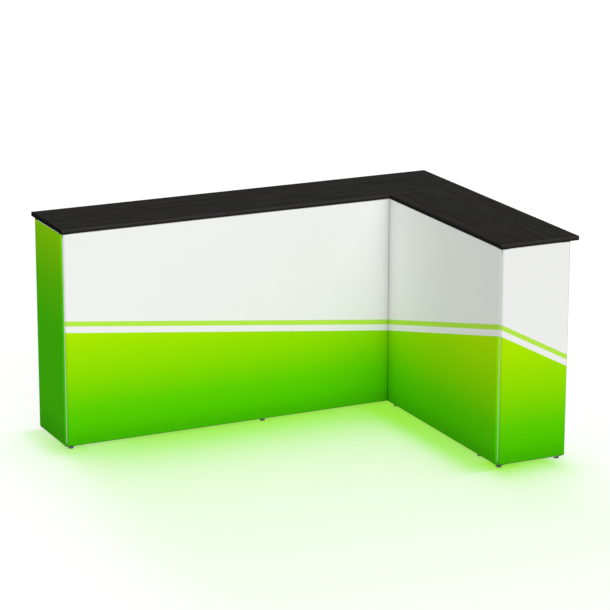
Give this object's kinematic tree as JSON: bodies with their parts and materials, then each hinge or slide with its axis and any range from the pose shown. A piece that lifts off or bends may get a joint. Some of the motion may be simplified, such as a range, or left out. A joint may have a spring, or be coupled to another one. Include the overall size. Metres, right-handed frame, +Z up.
{
  "type": "exhibition counter",
  "caption": "L-shaped exhibition counter: aluminium frame with back-lit printed fabric faces, black worktop, staff-side cupboard, open bays and levelling feet.",
  "frame": {"origin": "on the floor, under the middle of the bounding box", "axes": "+X along the long run towards the corner, +Y from the customers towards the staff side, +Z up"},
  "size_m": [2.045, 1.465, 1.0348],
  "materials": {
    "frame_aluminium": "silver anodised extrusion, satin; moulded grey connectors fill the post ends",
    "printed_fabric": "dye-printed polyester, white above and green below, lit from behind",
    "worktop_laminate": "black woodgrain laminate on board, satin",
    "white_board": "white laminate on board",
    "white_liner": "matt white sheet",
    "black_plastic": "moulded, satin",
    "grey_casing": "grey painted case",
    "hinge_steel": "bright zinc plated",
    "lock_chrome": "polished plate",
    "lit_lens": "opal lens over a light strip"
  },
  "bodies": {
    "frame": {"post_left_front": "frame_aluminium", "post_left_back": "frame_aluminium", "post_outer_corner": "frame_aluminium", "post_end_left": "frame_aluminium", "post_end_right": "frame_aluminium", "post_inner_corner": "frame_aluminium", "post_front_middle": "frame_aluminium", "post_back_middle": "frame_aluminium", "rail_front_lower": "frame_aluminium", "rail_front_upper": "frame_aluminium", "rail_left_end_lower": "frame_aluminium", "rail_left_end_upper": "frame_aluminium", "rail_back_lower": "frame_aluminium", "rail_back_upper": "frame_aluminium", "rail_right_side_lower": "frame_aluminium", "rail_right_side_upper": "frame_aluminium", "rail_inner_side_lower": "frame_aluminium", "rail_inner_side_upper": "frame_aluminium", "rail_short_end_lower": "frame_aluminium", "rail_short_end_upper": "frame_aluminium", "fabric_front": "printed_fabric", "fabric_left_end": "printed_fabric", "fabric_inner_side": "printed_fabric", "fabric_short_end": "printed_fabric", "worktop_long_left": "worktop_laminate", "worktop_long_right": "worktop_laminate", "worktop_short": "worktop_laminate", "liner_front": "white_liner", "liner_left_end": "white_liner", "liner_inner_side": "white_liner", "liner_short_end": "white_liner", "light_bar_front": "lit_lens", "light_bar_left_end": "lit_lens", "light_bar_inner_side": "lit_lens", "light_bar_short_end": "lit_lens", "power_supply": "grey_casing", "mains_inlet": "black_plastic", "base_long": "white_board", "base_short": "white_board", "shelf_cupboard": "white_board", "shelf_long": "white_board", "shelf_short": "white_board", "partition": "white_board", "fixed_panel": "white_board", "hinge_leaf_frame": "hinge_steel", "hinge_pin": "hinge_steel"},
    "door": {"door": "white_board", "hinge_leaf_door": "hinge_steel", "lock_body": "lock_chrome", "door_pull": "frame_aluminium"},
    "lock": {"lock_plug": "lock_chrome"},
    "foot_left_front": {"foot_left_front": "black_plastic"},
    "foot_left_back": {"foot_left_back": "black_plastic"},
    "foot_outer_corner": {"foot_outer_corner": "black_plastic"},
    "foot_end_left": {"foot_end_left": "black_plastic"},
    "foot_end_right": {"foot_end_right": "black_plastic"},
    "foot_front_middle": {"foot_front_middle": "black_plastic"},
    "foot_back_middle": {"foot_back_middle": "black_plastic"},
    "foot_inner_near": {"foot_inner_near": "black_plastic"},
    "foot_inner_far": {"foot_inner_far": "black_plastic"}
  },
  "joints": [
    {"name": "door_swing", "type": "hinge", "parent": "frame", "child": "door", "pos_m": [-0.9815, 0.6906, 0.515], "axis": [0, 0, 1], "range_deg": [0, 175]},
    {"name": "lock_turn", "type": "hinge", "parent": "door", "child": "lock", "pos_m": [-0.544, 0.6875, 0.703], "axis": [0, -1, 0], "range_deg": [0, 90]},
    {"name": "foot_left_front_screw", "type": "slide", "parent": "frame", "child": "foot_left_front", "axis": [0, 0, -1], "range_m": [0, 0.012]},
    {"name": "foot_left_back_screw", "type": "slide", "parent": "frame", "child": "foot_left_back", "axis": [0, 0, -1], "range_m": [0, 0.012]},
    {"name": "foot_outer_corner_screw", "type": "slide", "parent": "frame", "child": "foot_outer_corner", "axis": [0, 0, -1], "range_m": [0, 0.012]},
    {"name": "foot_end_left_screw", "type": "slide", "parent": "frame", "child": "foot_end_left", "axis": [0, 0, -1], "range_m": [0, 0.012]},
    {"name": "foot_end_right_screw", "type": "slide", "parent": "frame", "child": "foot_end_right", "axis": [0, 0, -1], "range_m": [0, 0.012]},
    {"name": "foot_front_middle_screw", "type": "slide", "parent": "frame", "child": "foot_front_middle", "axis": [0, 0, -1], "range_m": [0, 0.012]},
    {"name": "foot_back_middle_screw", "type": "slide", "parent": "frame", "child": "foot_back_middle", "axis": [0, 0, -1], "range_m": [0, 0.012]},
    {"name": "foot_inner_near_screw", "type": "slide", "parent": "frame", "child": "foot_inner_near", "axis": [0, 0, -1], "range_m": [0, 0.012]},
    {"name": "foot_inner_far_screw", "type": "slide", "parent": "frame", "child": "foot_inner_far", "axis": [0, 0, -1], "range_m": [0, 0.012]}
  ]
}
